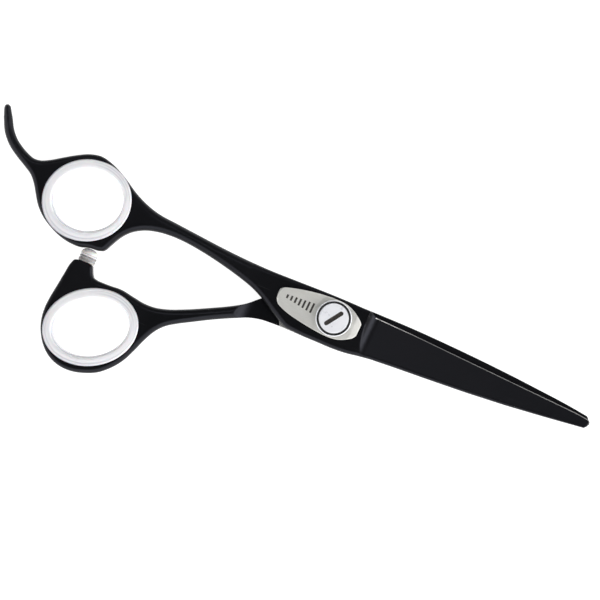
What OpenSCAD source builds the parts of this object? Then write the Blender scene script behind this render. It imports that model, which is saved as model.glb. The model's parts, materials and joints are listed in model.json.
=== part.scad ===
// Hair cutting shears: two crossed blade halves with offset handles, a fixed finger rest,
// soft ring inserts, a bumper, and a ball-bearing pivot with a click-stop tension dial.
// Frame: the origin is on the pivot axis, in the plane that the closed shears rest on.
// +X points to the blade tips, +Y to the finger-ring side and +Z to the tension dial.

/* [Blades] */
// Distance from the pivot axis to the blade tips
blade_reach = 70.3; // [64:0.1:76]
// Thickness of each half at the pivot
half_thickness = 3.1; // [2.8:0.05:3.4]
// Gap between the two inner faces
blade_gap = 0.1; // [0.05:0.01:0.2]
// Thickness left along each cutting edge
edge_land = 0.35; // [0.2:0.05:0.6]
// Slope of each ground outer face, rise over run
grind_slope = 0.27; // [0.2:0.01:0.3]
// Depth of the hollow ground into each inner face
hollow_depth = 0.2; // [0.05:0.05:0.3]

/* [Rings] */
// Thickness of the metal rings
ring_thickness = 5.2; // [4.6:0.1:5.4]
// How far each insert lip overlaps the face of its ring
lip_overlap = 1.1; // [0.8:0.1:1.3]
// Thickness of each insert lip
lip_thickness = 0.5; // [0.3:0.05:0.6]

/* [Bumper] */
// Radius of the bumper body
bumper_radius = 2.25; // [2:0.05:2.4]
// Radius of the stud that holds the bumper
stud_radius = 0.9; // [0.8:0.05:1.2]
// Length of the stud inside the lug
stud_length = 2.6; // [2:0.1:3]

/* [Pivot] */
// Radius of the tension dial head
dial_radius = 4.6; // [4.2:0.1:4.7]
// Radius of the bolt journal that the moving half turns on
journal_radius = 2.0; // [1.9:0.05:2.1]
// Radius of the bolt thread
thread_radius = 1.75; // [1.6:0.05:1.8]
// Number of balls in the thrust bearing
ball_count = 12; // [8:1:14]
// Radius of each bearing ball
ball_radius = 0.34; // [0.3:0.01:0.34]
// Number of click positions round the dial
click_count = 20; // [12:2:24]

/* [Hidden] */
$fn = 64;
// Points that each curve puts between two of its own points
span_steps = 4;
// Sides of an oval
oval_sides = 96;
// Reach of a cutter past the part
past = 12;
// Play left between pieces that are pressed or keyed together
fit = 0.03;

// Heights of the two inner faces and of the front half's outer face
rear_inner_z = half_thickness;
front_inner_z = half_thickness + blade_gap;
front_outer_z = front_inner_z + half_thickness + 0.1;
// Heights of the metal rings, centred on the plane between the halves
ring_low_z = (rear_inner_z + front_inner_z - ring_thickness) / 2 - 0.05;
ring_high_z = ring_low_z + ring_thickness;

// Heights up the pivot
bolt_head_top = 0.8;
washer_low = rear_inner_z - 0.25;
washer_high = front_inner_z + 0.25;
bearing_floor = 4.2;
race_thickness = 0.3;
ball_z = bearing_floor + race_thickness + ball_radius + 0.01;
upper_race_low = ball_z + ball_radius + 0.01;
upper_race_top = upper_race_low + race_thickness;
spring_height = 0.3;
click_low = upper_race_top + spring_height;
click_thickness = 0.2;
click_top = click_low + click_thickness;
plate_low = front_outer_z - 0.4;
plate_top = plate_low + 0.85;
neck_low = click_top + fit;
dial_low = plate_top + 0.2;
dial_top = dial_low + 0.7;

// Radii round the pivot
bolt_head_radius = 4.2;
key_radius = 2.5;
bush_radius = 2.6;
washer_radius = 5.0;
bearing_radius = 4.3;
ball_circle = 3.2;
neck_radius = 3.1;
plate_bore = 3.3;
click_radius = 2.9;
click_circle = 2.5;
click_bump = 0.3;

// Blade tip: outline points are given as [share of the way from heel to tip, Y]
heel_x = 9.9;

// Ring holes as [centre X, centre Y, long half-axis, short half-axis, angle], at the insert's lip
finger_oval = [-69.25, 3.35, 11.4, 10.45, 27];
thumb_oval = [-56.0, -25.9, 12.25, 9.85, 31];
// Holes through the inserts, written the same way
finger_hole = [-69.0, 3.55, 8.95, 7.85, 25];
thumb_hole = [-55.9, -26.0, 9.8, 7.25, 32];

// The bumper stands on the lug of the thumb ring
lug_x = -63.5;
lug_y = -11.3;
bumper_height = 3.65;
// How far the stud stands out of the lug, inside the bumper
stud_reach = 2.4;

function hermite(p, q, a, b, t) =
    p * (2 * t ^ 3 - 3 * t ^ 2 + 1) + a * (t ^ 3 - 2 * t ^ 2 + t)
    + q * (3 * t ^ 2 - 2 * t ^ 3) + b * (t ^ 3 - t ^ 2);

// Direction of the curve through the points p at point i, weighted by the spans either side
function heading(p, i) =
    i == 0 ? (p[1] - p[0]) / norm(p[1] - p[0])
    : i == len(p) - 1 ? (p[i] - p[i - 1]) / norm(p[i] - p[i - 1])
    : let (before = norm(p[i] - p[i - 1]), after = norm(p[i + 1] - p[i]))
      ((p[i] - p[i - 1]) / before * after + (p[i + 1] - p[i]) / after * before) / (before + after);

// A smooth curve through the points p
function curve(p) = [
    for (i = [0:len(p) - 2], j = [0:span_steps - 1])
        let (span = norm(p[i + 1] - p[i]))
        hermite(p[i], p[i + 1], heading(p, i) * span, heading(p, i + 1) * span, j / span_steps),
    p[len(p) - 1]
];

function along_blade(points) = [for (p = points) [heel_x + p.x * (blade_reach - heel_x), p.y]];

function oval_points(o, grow = 0) = [
    for (i = [0:oval_sides - 1])
        let (t = 360 * i / oval_sides, u = (o[2] + grow) * cos(t), v = (o[3] + grow) * sin(t))
        [o.x + u * cos(o[4]) - v * sin(o[4]), o.y + u * sin(o[4]) + v * cos(o[4])]
];

// Outline of the finger half, from its tip back along the spine, round the ring and forward again
finger_spine = along_blade([[0.985, -1.1], [0.83, -2.25], [0.66, -3.4], [0.49, -4.3], [0.33, -4.95],
    [0.16, -5.55], [0.04, -6.05]]);
finger_belly = [[9, -6.5], [7, -6.85], [4, -7.15], [-2, -7.2], [-8, -7.1], [-10.5, -6.8], [-12.5, -5.9],
    [-15.1, -4.5], [-18.9, -2.3], [-22, -0.9], [-26, 0.3], [-32, 1.7], [-38, 2.75], [-42, 3.2],
    [-46, 3.3], [-50, 2.85], [-53, 1.95], [-56, 0.1], [-57.8, -2.0], [-59.1, -4.4], [-60, -6.3]];
finger_ring_low = [[-60.6, -6.95], [-61.8, -7.35], [-63.5, -7.5], [-65, -7.8], [-66.2, -8.2],
    [-68.5, -8.3], [-72, -7.7], [-75, -6.5], [-78, -4.7], [-80.3, -2.5], [-82, 0], [-83.3, 2],
    [-85, 3.9], [-87.3, 5.3], [-90, 6.75], [-93.1, 8.8], [-95.4, 11.3], [-97.2, 14.8]];
finger_rest_tip = [[-98, 17.0], [-97.95, 17.8], [-97.3, 18.2], [-96.6, 17.9]];
finger_rest_top = [[-94.9, 15.2], [-93.65, 13], [-91.9, 11], [-89.9, 9.6], [-87.9, 8.6], [-86, 8],
    [-84, 8.2], [-82, 9.15], [-79, 11.1], [-76, 13], [-73, 14.5], [-70.1, 15.1], [-67.2, 14.5],
    [-64.5, 13.4], [-62.2, 12.15], [-60.3, 10.95], [-58.6, 9.95], [-56.5, 8.95], [-54, 8],
    [-51, 7.25], [-46, 6.75], [-40, 6.2], [-32, 5.5], [-26, 5.15], [-20, 5], [-12, 5.15],
    [-4, 5.35], [4, 5.35], [7.9, 5.25]];
finger_heel = [[7.9, 5.25], [8.6, 5.1], [9.3, 4.7]];
finger_edge = along_blade([[0, 4.3], [0.16, 4.0], [0.33, 3.7], [0.49, 3.3], [0.66, 2.9], [0.83, 2.25],
    [0.93, 1.7], [0.985, 1.35]]);
finger_tip = along_blade([[0.985, 1.35], [0.995, 1.1], [1, 0.5], [0.997, -0.2], [0.985, -1.1]]);

// Outline of the thumb half, from its tip back along the spine, round the ring and forward again
thumb_spine = along_blade([[0.98, 2.0], [0.91, 2.55], [0.83, 3.05], [0.74, 3.5], [0.66, 3.9],
    [0.5, 4.55], [0.33, 5.05], [0.16, 5.35], [0, 5.37]]);
thumb_crossing = [[4, 5.3], [-2, 5.2], [-6, 5], [-9, 4.3], [-12, 2.7], [-15, 0.6], [-18.9, -2.4],
    [-22, -5.2], [-25, -7.1], [-30, -9.75], [-36, -12.7], [-40, -14.35], [-43, -15.1], [-46, -15.2],
    [-49, -14.75], [-52.5, -14.2], [-56, -14.4], [-58.8, -14.45]];
thumb_lug = [[-60.1, -14.2], [-60.6, -13.6], [-61.2, -12.4], [-61.6, -11.6], [-62.2, lug_y]];
thumb_lug_back = [[-65.5, lug_y], [-66.4, -11.7], [-66.9, -12.8], [-67.4, -15.8], [-68, -19.8],
    [-68.5, -23.3], [-68.65, -26], [-68.1, -29.7], [-66.6, -33], [-64.5, -35.6], [-62, -37.3],
    [-59, -38.15], [-56, -38.1], [-53, -37.3], [-50, -35.9], [-47.2, -33.4], [-45.1, -30.5],
    [-43.6, -27.2], [-42.05, -23.3], [-40.5, -20.45], [-38.7, -18.45], [-36.3, -16.8], [-33, -14.9],
    [-28, -12.1], [-23, -9.6], [-20, -8.25], [-17, -7.5], [-14, -7.25], [-6, -7.2], [2, -7.1], [7, -6.7]];
thumb_heel = [[7, -6.7], [8.4, -6.3], [9.4, -5.6]];
thumb_edge = along_blade([[0, -5.15], [0.16, -4.2], [0.33, -3.55], [0.49, -2.95], [0.66, -2.35],
    [0.83, -1.5], [0.93, -0.95], [0.98, -0.6]]);
thumb_tip = along_blade([[0.98, -0.6], [0.99, -0.1], [0.993, 0.6], [0.99, 1.4], [0.98, 2.0]]);

finger_outline = concat(finger_spine, curve(finger_belly), curve(finger_ring_low), curve(finger_rest_tip),
    curve(finger_rest_top), curve(finger_heel), curve(finger_edge), curve(finger_tip));
thumb_outline = concat(curve(thumb_spine), curve(thumb_crossing), curve(thumb_lug), curve(thumb_lug_back),
    curve(thumb_heel), curve(thumb_edge), curve(thumb_tip));

// Side views, as [X, Z]: the shank scoops let each half cross over the other
scoop_start = -19.2;
scoop_end = -23.8;
scoop_rise = 2.2;
scoop_radius = ((scoop_start - scoop_end) ^ 2 + scoop_rise ^ 2) / (2 * scoop_rise);
function scoop(inner_z, way) = [
    for (i = [0:8])
        let (x = scoop_start + (scoop_end - scoop_start) * i / 8)
        [x, inner_z + way * (scoop_radius - sqrt(scoop_radius ^ 2 - (x - scoop_start) ^ 2))]
];
finger_side = concat(
    [[blade_reach + 5, front_inner_z]],
    scoop(front_inner_z, -1),
    curve([[-27, 0.75], [-36, 0.55], [-50, ring_low_z], [-82, ring_low_z], [-87, 0.85],
        [-93, 1.5], [-99, 2]]),
    curve([[-99, 4.2], [-93, 4.75], [-87, 5.4], [-82, ring_high_z], [-50, ring_high_z],
        [-36, ring_high_z + 0.1], [-26, ring_high_z + 0.4], [-18, front_outer_z], [-14, front_outer_z]]),
    [[blade_reach + 5, front_outer_z]]
);
thumb_side = concat(
    [[blade_reach + 5, rear_inner_z]],
    scoop(rear_inner_z, 1),
    curve([[-27, 5.45], [-36, 5.6], [-50, ring_high_z], [-72, ring_high_z]]),
    curve([[-72, ring_low_z], [-50, ring_low_z], [-36, 0.4], [-26, 0.1], [-18, 0], [-14, 0]]),
    [[blade_reach + 5, 0]]
);

module oval(o, grow = 0) {
    polygon(oval_points(o, grow));
}

// A flat blank: the outline seen from above, kept where the side view has material
module blank(outline, side) {
    intersection() {
        translate([0, 0, -1])
            linear_extrude(past)
                polygon(outline);
        rotate([90, 0, 0])
            linear_extrude(140, center = true)
                polygon(side);
    }
}

// The ground outer face: a plane that rises from the cutting edge, with a filleted shoulder.
// It is drawn for an edge from a to b at height z, and side is 1 where the spine is on the -Y side.
module face_grind(a, b, z, side) {
    fillet = 3;
    shoulder = -1.9;
    turn = atan2(b.y - a.y, b.x - a.x);
    translate([a.x, a.y, z])
        rotate([-side * atan(grind_slope), 0, turn])
            rotate([90, 0, 0])
                linear_extrude(60, center = true)
                    polygon(concat(
                        [[shoulder, past]],
                        [for (t = [180:10:270])
                            [shoulder + fillet + fillet * cos(t), fillet + fillet * sin(t)]],
                        [[blade_reach + past, 0], [blade_reach + past, past]]
                    ));
}

// The hollow in an inner face: a shallow trough that fades out towards the tip
module hollow_grind(start, finish, inner_z, way) {
    trough_radius = 40;
    length = finish.x - start.x;
    turn = atan2(finish.y - start.y, length);
    fade = atan((hollow_depth - 0.02) / length);
    translate([start.x, start.y, inner_z + way * (hollow_depth - trough_radius)])
        rotate([0, way * fade, turn])
            rotate([0, 90, 0])
                cylinder(r = trough_radius, h = length + past, $fn = 180);
}

module bolt_flats(play = 0) {
    flat = 1.4 + play;
    cube([past, 2 * flat, 4 * past], center = true);
}

// Outline of the cover plate: a leaf that is widest at the dial, square-cut at both ends
plate_upper = [[-15.45, 0.7], [-15.3, 1.8], [-14.5, 2.4], [-13, 2.9], [-10, 3.65], [-7.3, 4.15],
    [-4, 4.55], [-1, 4.7], [1.8, 4.5], [4, 3.7], [5.6, 2.65], [6.6, 1.85], [7.1, 1.2]];
plate_lower = [[6.95, -1.9], [6.5, -2.6], [4.9, -3.75], [3.3, -4.5], [1.5, -4.85], [-1, -4.9],
    [-4, -4.6], [-8, -4.0], [-11.4, -3.25], [-13.4, -2.55], [-14.7, -1.8], [-15.35, -0.8]];
plate_tilt = -2.8;
plate_pin_spots = [[-13, 0], [5.9, 0]];
plate_pin_radius = 0.5;
plate_pin_low = 4.9;

module plate_outline() {
    polygon(concat(curve(plate_upper), curve(plate_lower)));
}

module at_plate_pins() {
    rotate(plate_tilt)
        for (p = plate_pin_spots)
            translate(p) children();
}

module finger_half() {
    color([0.05, 0.05, 0.06])
        difference() {
            blank(finger_outline, finger_side);
            translate([0, 0, -1]) linear_extrude(past) oval(finger_oval, -lip_overlap);
            face_grind(finger_edge[0], finger_edge[len(finger_edge) - 1], front_inner_z + edge_land, 1);
            hollow_grind([heel_x + 2, -0.8], [blade_reach, 0.2], front_inner_z, 1);
            translate([0, 0, plate_low]) linear_extrude(past) offset(fit) plate_outline();
            cylinder(r = bush_radius, h = past);
            translate([0, 0, bearing_floor]) cylinder(r = bearing_radius, h = past);
            translate([0, 0, front_inner_z - 1]) cylinder(r = washer_radius + 0.2, h = 1.25);
            at_plate_pins()
                translate([0, 0, plate_pin_low]) cylinder(r = plate_pin_radius, h = past);
        }
}

module thumb_half() {
    color([0.06, 0.06, 0.07])
        difference() {
            blank(thumb_outline, thumb_side);
            translate([0, 0, -1]) linear_extrude(past) oval(thumb_oval, -lip_overlap);
            mirror([0, 0, 1])
                translate([0, 0, -rear_inner_z])
                    face_grind(thumb_edge[0], thumb_edge[len(thumb_edge) - 1], edge_land, -1);
            hollow_grind([heel_x + 2, -0.2], [blade_reach, 0.7], rear_inner_z, -1);
            translate([0, 0, -1]) cylinder(r = bolt_head_radius + fit, h = 1 + bolt_head_top);
            key_section(fit, past);
            translate([0, 0, washer_low]) cylinder(r = washer_radius + 0.2, h = 1);
            translate([lug_x, lug_y + 1, (ring_low_z + ring_high_z) / 2])
                rotate([90, 0, 0]) cylinder(r = stud_radius + fit, h = stud_length + 1);
        }
}

// The flatted part of the bolt that stops it turning in the thumb half
module key_section(play, height) {
    intersection() {
        cylinder(r = key_radius + play, h = height);
        translate([-past, -1.9 - play, 0]) cube([2 * past, past, height]);
    }
}

module ring_insert(rim, hole) {
    difference() {
        union() {
            translate([0, 0, ring_low_z - lip_thickness])
                linear_extrude(lip_thickness) oval(rim);
            translate([0, 0, ring_high_z])
                linear_extrude(lip_thickness) oval(rim);
            translate([0, 0, ring_low_z - lip_thickness])
                linear_extrude(ring_thickness + 2 * lip_thickness) oval(rim, -lip_overlap - fit);
        }
        translate([0, 0, -past]) linear_extrude(3 * past) oval(hole);
    }
}

module finger_ring_insert() {
    color([0.93, 0.94, 0.95]) ring_insert(finger_oval, finger_hole);
}

module thumb_ring_insert() {
    color([0.93, 0.94, 0.95]) ring_insert(thumb_oval, thumb_hole);
}

// Places its children at the middle of the lug's end face, with +Z out of the lug
module at_lug() {
    translate([lug_x, lug_y, (ring_low_z + ring_high_z) / 2])
        rotate([-90, 0, 0]) children();
}

module bumper() {
    r = bumper_radius;
    groove = 0.25;
    dome_base = 2.1;
    bore = stud_radius + fit;
    color([0.85, 0.85, 0.82])
        at_lug()
            rotate_extrude()
                polygon(concat(
                    [[0, stud_reach + fit], [bore, stud_reach + fit], [bore, 0.02], [r - 0.25, 0.02],
                     [r - 0.05, 0.4], [r, 0.8], [r - groove, 0.95], [r - groove, 1.1], [r, 1.25],
                     [r, 1.5], [r - groove, 1.65], [r - groove, 1.8], [r, 1.95]],
                    [for (t = [0:15:90])
                        [r * cos(t), dome_base + (bumper_height - dome_base) * sin(t)]]
                ));
}

module bumper_stud() {
    pitch = 0.5;
    turns = 4;
    color([0.75, 0.75, 0.77])
        at_lug()
            rotate_extrude()
                polygon(concat(
                    [[0, -stud_length], [stud_radius - 0.15, -stud_length], [stud_radius, 0.15 - stud_length],
                     [stud_radius, 0]],
                    [for (i = [0:turns - 1], side = [0, 1])
                        [stud_radius - 0.15 * (1 - side), (i + side / 2 + 0.25) * pitch]],
                    [[stud_radius - 0.15, stud_reach], [0, stud_reach]]
                ));
}

module cover_plate() {
    bevel = [[4.9, 0.1], [7.5, -0.55], [9, -0.55], [9, 2], [4.9, 2]];
    color([0.74, 0.74, 0.71])
        difference() {
            translate([0, 0, plate_low]) linear_extrude(plate_top - plate_low) plate_outline();
            cylinder(r = plate_bore, h = past);
            rotate(plate_tilt)
                translate([0, 0, plate_top])
                    rotate([90, 0, 0]) linear_extrude(2 * past, center = true) polygon(bevel);
            at_plate_pins()
                translate([0, 0, plate_low - 1]) cylinder(r = plate_pin_radius, h = 1.35);
            plate_marks(plate_top - plate_mark_depth, 1);
        }
}

// A row of engraved strokes, tallest at the tight end, in place of lettering
plate_mark_depth = 0.15;
plate_mark_count = 7;
plate_mark_pitch = 1.15;
plate_mark_width = 0.5;

module plate_marks(z, height, play = 0) {
    rotate(plate_tilt)
        for (i = [0:plate_mark_count - 1])
            let (long = 1 + 0.27 * i)
            translate([-13.2 + plate_mark_pitch * i, -long / 2, z])
                cube([plate_mark_width - play, long - play, height]);
}

module plate_mark_fill() {
    color([0.12, 0.11, 0.1])
        translate([0.01, 0.01, 0])
            plate_marks(plate_top - plate_mark_depth, plate_mark_depth - 0.02, 0.02);
}

module cover_plate_pins() {
    color("silver")
        at_plate_pins()
            translate([0, 0, plate_pin_low])
                cylinder(r = plate_pin_radius - fit, h = plate_low + 0.3 - plate_pin_low);
}

module ring_washer(inner, outer, low, high) {
    translate([0, 0, low])
        difference() {
            cylinder(r = outer, h = high - low);
            translate([0, 0, -1]) cylinder(r = inner, h = high - low + 2);
        }
}

module pivot_bush() {
    color([0.72, 0.53, 0.3])
        ring_washer(journal_radius + fit, bush_radius, washer_high, bearing_floor);
}

module lower_race() {
    color("gainsboro")
        ring_washer(journal_radius + 0.1, bearing_radius - 0.05,
            bearing_floor, bearing_floor + race_thickness);
}

module upper_race() {
    color("gainsboro")
        translate([0, 0, upper_race_low])
            difference() {
                cylinder(r = bearing_radius - 0.15, h = race_thickness);
                intersection() {
                    translate([0, 0, -1]) cylinder(r = thread_radius + fit, h = 3);
                    bolt_flats(fit);
                }
            }
}

module at_balls() {
    for (i = [0:ball_count - 1])
        rotate(360 * i / ball_count)
            translate([ball_circle, 0, ball_z]) children();
}

module bearing_cage() {
    color([0.76, 0.6, 0.32])
        difference() {
            ring_washer(2.35, 4.08, ball_z - 0.17, ball_z + 0.17);
            at_balls() cylinder(r = ball_radius + fit, h = 2, center = true);
        }
}

module bearing_balls() {
    color("silver")
        at_balls() sphere(r = ball_radius);
}

module ride_washer() {
    color([0.9, 0.88, 0.8])
        ring_washer(journal_radius + 0.05, washer_radius, washer_low, washer_high - fit);
}

module pivot_bolt() {
    color([0.7, 0.7, 0.72])
        union() {
            cylinder(r1 = bolt_head_radius - 0.15, r2 = bolt_head_radius, h = 0.15);
            translate([0, 0, 0.15]) cylinder(r = bolt_head_radius, h = bolt_head_top - 0.15);
            key_section(0, washer_low - 0.05);
            cylinder(r = journal_radius, h = upper_race_low - fit);
            intersection() {
                cylinder(r = thread_radius, h = dial_low + 0.05);
                bolt_flats();
            }
        }
}

module disc_spring() {
    sheet = 0.12;
    inner = 2.2;
    outer = 3.9;
    color([0.55, 0.56, 0.6])
        rotate_extrude()
            polygon([[outer, upper_race_top], [outer, upper_race_top + sheet],
                [inner, click_low], [inner, click_low - sheet]]);
}

module at_click_bumps(count) {
    for (i = [0:count - 1])
        rotate(360 * i / count)
            translate([click_circle, 0, 0]) children();
}

module click_washer() {
    color([0.6, 0.6, 0.64])
        difference() {
            union() {
                translate([0, 0, click_low]) cylinder(r = click_radius, h = click_thickness);
                at_click_bumps(2)
                    translate([0, 0, click_top - 0.1]) cylinder(r1 = click_bump, r2 = 0.12, h = 0.22);
            }
            intersection() {
                cylinder(r = thread_radius + fit, h = past);
                bolt_flats(fit);
            }
        }
}

dial_groove_inner = 3.78;
dial_groove_outer = 4.36;
dial_groove_depth = 0.2;
coin_slot = [5.6, 1.1, 0.32];
coin_slot_turn = 55;

module tension_dial() {
    rim_chamfer = 0.12;
    color([0.85, 0.86, 0.88])
        difference() {
            union() {
                translate([0, 0, neck_low]) cylinder(r = neck_radius, h = dial_low - neck_low + 0.1);
                translate([0, 0, dial_low]) cylinder(r = dial_radius, h = dial_top - dial_low - rim_chamfer);
                translate([0, 0, dial_top - rim_chamfer])
                    cylinder(r1 = dial_radius, r2 = dial_radius - rim_chamfer, h = rim_chamfer);
            }
            translate([0, 0, neck_low - 1]) cylinder(r = thread_radius + fit, h = dial_low + 1.2 - neck_low);
            ring_washer(click_circle - 0.35, click_circle + 0.35, neck_low - 1, neck_low + 0.18);
            at_click_bumps(click_count)
                translate([0, 0, neck_low + 0.1]) cylinder(r1 = click_bump, r2 = 0.15, h = 0.2);
            ring_washer(dial_groove_inner, dial_groove_outer, dial_top - dial_groove_depth, dial_top + 1);
            rotate(coin_slot_turn)
                translate([-coin_slot.x / 2, -coin_slot.y / 2, dial_top - coin_slot.z])
                    cube([coin_slot.x, coin_slot.y, 1]);
        }
}

module dial_ring() {
    color([0.05, 0.05, 0.06])
        ring_washer(dial_groove_inner + 0.01, dial_groove_outer - 0.01,
            dial_top - dial_groove_depth, dial_top - 0.02);
}

finger_half();
finger_ring_insert();
cover_plate();
plate_mark_fill();
cover_plate_pins();
pivot_bush();
lower_race();
bearing_cage();
bearing_balls();
thumb_half();
thumb_ring_insert();
bumper();
bumper_stud();
pivot_bolt();
ride_washer();
upper_race();
disc_spring();
click_washer();
tension_dial();
dial_ring();
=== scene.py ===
"""Looks for the hair cutting shears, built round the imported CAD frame."""

import json
import math

import bmesh
import bpy
import numpy as np
from mathutils import Matrix, Vector
from mathutils.bvhtree import BVHTree
from mathutils.geometry import delaunay_2d_cdt


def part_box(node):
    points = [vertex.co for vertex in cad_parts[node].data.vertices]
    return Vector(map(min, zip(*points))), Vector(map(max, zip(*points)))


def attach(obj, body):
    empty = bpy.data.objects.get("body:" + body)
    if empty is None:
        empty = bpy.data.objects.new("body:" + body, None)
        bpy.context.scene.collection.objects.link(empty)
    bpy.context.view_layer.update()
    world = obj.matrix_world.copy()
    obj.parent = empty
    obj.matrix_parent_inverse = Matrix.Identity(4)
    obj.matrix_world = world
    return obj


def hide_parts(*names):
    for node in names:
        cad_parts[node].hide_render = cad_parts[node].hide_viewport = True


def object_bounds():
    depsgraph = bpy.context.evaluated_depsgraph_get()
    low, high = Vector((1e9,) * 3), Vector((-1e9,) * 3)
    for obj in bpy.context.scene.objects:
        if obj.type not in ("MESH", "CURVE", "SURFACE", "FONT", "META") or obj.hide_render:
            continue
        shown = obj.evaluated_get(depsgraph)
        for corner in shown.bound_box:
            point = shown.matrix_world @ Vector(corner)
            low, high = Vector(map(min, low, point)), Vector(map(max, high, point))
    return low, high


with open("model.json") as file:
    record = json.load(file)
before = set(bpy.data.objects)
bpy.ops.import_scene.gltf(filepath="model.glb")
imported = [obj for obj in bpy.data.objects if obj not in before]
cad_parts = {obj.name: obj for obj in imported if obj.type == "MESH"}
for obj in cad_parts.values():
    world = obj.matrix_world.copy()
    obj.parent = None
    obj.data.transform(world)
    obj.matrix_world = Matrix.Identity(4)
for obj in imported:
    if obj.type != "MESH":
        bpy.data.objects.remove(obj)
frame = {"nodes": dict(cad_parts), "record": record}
cad_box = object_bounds()

MM = 0.001
RAY_HEIGHT = 0.05
# Points per block where every point is compared with every segment
BLOCK = 800


def placed(name, data):
    """A new object in the scene that shows a mesh, light or camera."""
    obj = bpy.data.objects.new(name, data)
    bpy.context.scene.collection.objects.link(obj)
    return obj


def built(name, bm):
    """A new object in the scene from a closed bmesh, its faces turned outwards."""
    bmesh.ops.recalc_face_normals(bm, faces=bm.faces)
    mesh = bpy.data.meshes.new(name)
    bm.to_mesh(mesh)
    bm.free()
    return placed(name, mesh)


# ---------------------------------------------------------------- reading the CAD nodes

def welded(node):
    """A CAD node's mesh as a bmesh with its split vertices joined."""
    bm = bmesh.new()
    bm.from_mesh(frame["nodes"][node].data)
    bmesh.ops.remove_doubles(bm, verts=bm.verts, dist=1e-6)
    return bm


def area(loop):
    x, y = loop[:, 0], loop[:, 1]
    return 0.5 * float(np.sum(x * np.roll(y, -1) - y * np.roll(x, -1)))


def slice_loops(node, z):
    """The closed outlines of a CAD node at height z (mm), largest first, in mm."""
    bm = welded(node)
    geometry = bm.verts[:] + bm.edges[:] + bm.faces[:]
    cut = bmesh.ops.bisect_plane(bm, geom=geometry, dist=1e-7, plane_co=(0, 0, z * MM), plane_no=(0, 0, 1))
    links = {}
    for edge in cut["geom_cut"]:
        if isinstance(edge, bmesh.types.BMEdge):
            a, b = edge.verts
            links.setdefault(a, []).append(b)
            links.setdefault(b, []).append(a)
    loops, seen = [], set()
    for start in sorted(links, key=lambda v: tuple(v.co)):
        if start in seen:
            continue
        loop, here, last = [], start, None
        while here is not None and here not in seen:
            seen.add(here)
            loop.append((here.co.x / MM, here.co.y / MM))
            onward = [v for v in links[here] if v is not last and v not in seen]
            last, here = here, (onward[0] if onward else None)
        if len(loop) > 2:
            loops.append(np.array(loop))
    bm.free()
    return sorted(loops, key=lambda p: -abs(area(p)))


def smooth_loop(points, step, corner=26.0):
    """A closed outline as a smooth curve, sampled about every step mm.

    Turns over corner degrees stay sharp.
    """
    gaps = np.linalg.norm(np.roll(points, -1, 0) - points, axis=1)
    points = points[gaps > 0.01]
    after = np.roll(points, -1, 0) - points
    length = np.linalg.norm(after, axis=1)
    ahead = after / length[:, None]
    behind, before = np.roll(ahead, 1, 0), np.roll(length, 1)
    turn = np.degrees(np.abs(np.arctan2(behind[:, 0] * ahead[:, 1] - behind[:, 1] * ahead[:, 0],
                                        np.sum(behind * ahead, axis=1))))
    heading = (behind * length[:, None] + ahead * before[:, None]) / (length + before)[:, None]
    sharp = turn > corner
    leave = np.where(sharp[:, None], ahead, heading)
    arrive = np.where(sharp[:, None], behind, heading)
    out = []
    for i in range(len(points)):
        j = (i + 1) % len(points)
        p, q, reach = points[i], points[j], length[i]
        count = max(1, int(round(reach / step)))
        for k in range(count):
            t = k / count
            out.append(p * (2 * t**3 - 3 * t**2 + 1) + leave[i] * reach * (t**3 - 2 * t**2 + t)
                       + q * (3 * t**2 - 2 * t**3) + arrive[j] * reach * (t**3 - t**2))
    return np.array(out)


def nearest(points, starts, ends):
    """Distance from each point to the closest segment, and that segment's number and closest point."""
    far, which, foot = [], [], []
    span = ends - starts
    size = np.maximum(np.sum(span * span, axis=1), 1e-12)
    for block in np.array_split(points, max(1, len(points) // BLOCK)):
        rel = block[:, None, :] - starts[None]
        t = np.clip(np.sum(rel * span[None], axis=2) / size[None], 0, 1)
        near = starts[None] + t[..., None] * span[None]
        d = np.linalg.norm(block[:, None, :] - near, axis=2)
        k = np.argmin(d, axis=1)
        rows = np.arange(len(block))
        far.append(d[rows, k])
        which.append(k)
        foot.append(near[rows, k])
    return np.concatenate(far), np.concatenate(which), np.concatenate(foot)


def inside(points, starts, ends):
    """True for each point within the outlines, holes left out."""
    out = []
    for block in np.array_split(points, max(1, len(points) // BLOCK)):
        y = block[:, 1][:, None]
        straddles = (starts[None, :, 1] > y) != (ends[None, :, 1] > y)
        rise = np.where(ends[:, 1] == starts[:, 1], 1e-12, ends[:, 1] - starts[:, 1])
        x = starts[None, :, 0] + (y - starts[None, :, 1]) * (ends - starts)[None, :, 0] / rise[None]
        out.append(np.sum(straddles & (x > block[:, 0][:, None]), axis=1) % 2 == 1)
    return np.concatenate(out)


# ---------------------------------------------------------------- rounded plates from an outline

class Plan:
    """The plan of a flat-lying piece: its outlines, and how far in each point lies."""

    def __init__(self, loops):
        self.loops = []
        for i, loop in enumerate(loops):
            wrong_way = (area(loop) > 0) != (i == 0)
            self.loops.append(loop[::-1].copy() if wrong_way else loop)
        self.starts = np.concatenate(self.loops)
        self.ends = np.concatenate([np.roll(p, -1, 0) for p in self.loops])
        along = self.ends - self.starts
        along /= np.linalg.norm(along, axis=1)[:, None]
        self.inward = np.stack([-along[:, 1], along[:, 0]], axis=1)

    def rim_normals(self):
        out, at = [], 0
        for loop in self.loops:
            n = self.inward[at:at + len(loop)]
            mean = n + np.roll(n, 1, 0)
            out.append(mean / np.maximum(np.linalg.norm(mean, axis=1), 1e-9)[:, None])
            at += len(loop)
        return np.concatenate(out)


# Rows of points that follow a rim, as shares of its bevel's width: those on wide bevels only, the one on
# narrow bevels only, and those on every bevel
WIDE_ROWS = (0.06, 0.12, 0.18, 0.25, 0.36, 0.48, 0.6, 0.7, 0.8, 0.9)
NARROW_ROW = 0.5
OUTER_ROWS = (1.0, 1.3)
NARROW = 0.35
# A row's point stays if every rim is at least this share of its own distance away
ROW_CLEAR = 0.96
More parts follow.
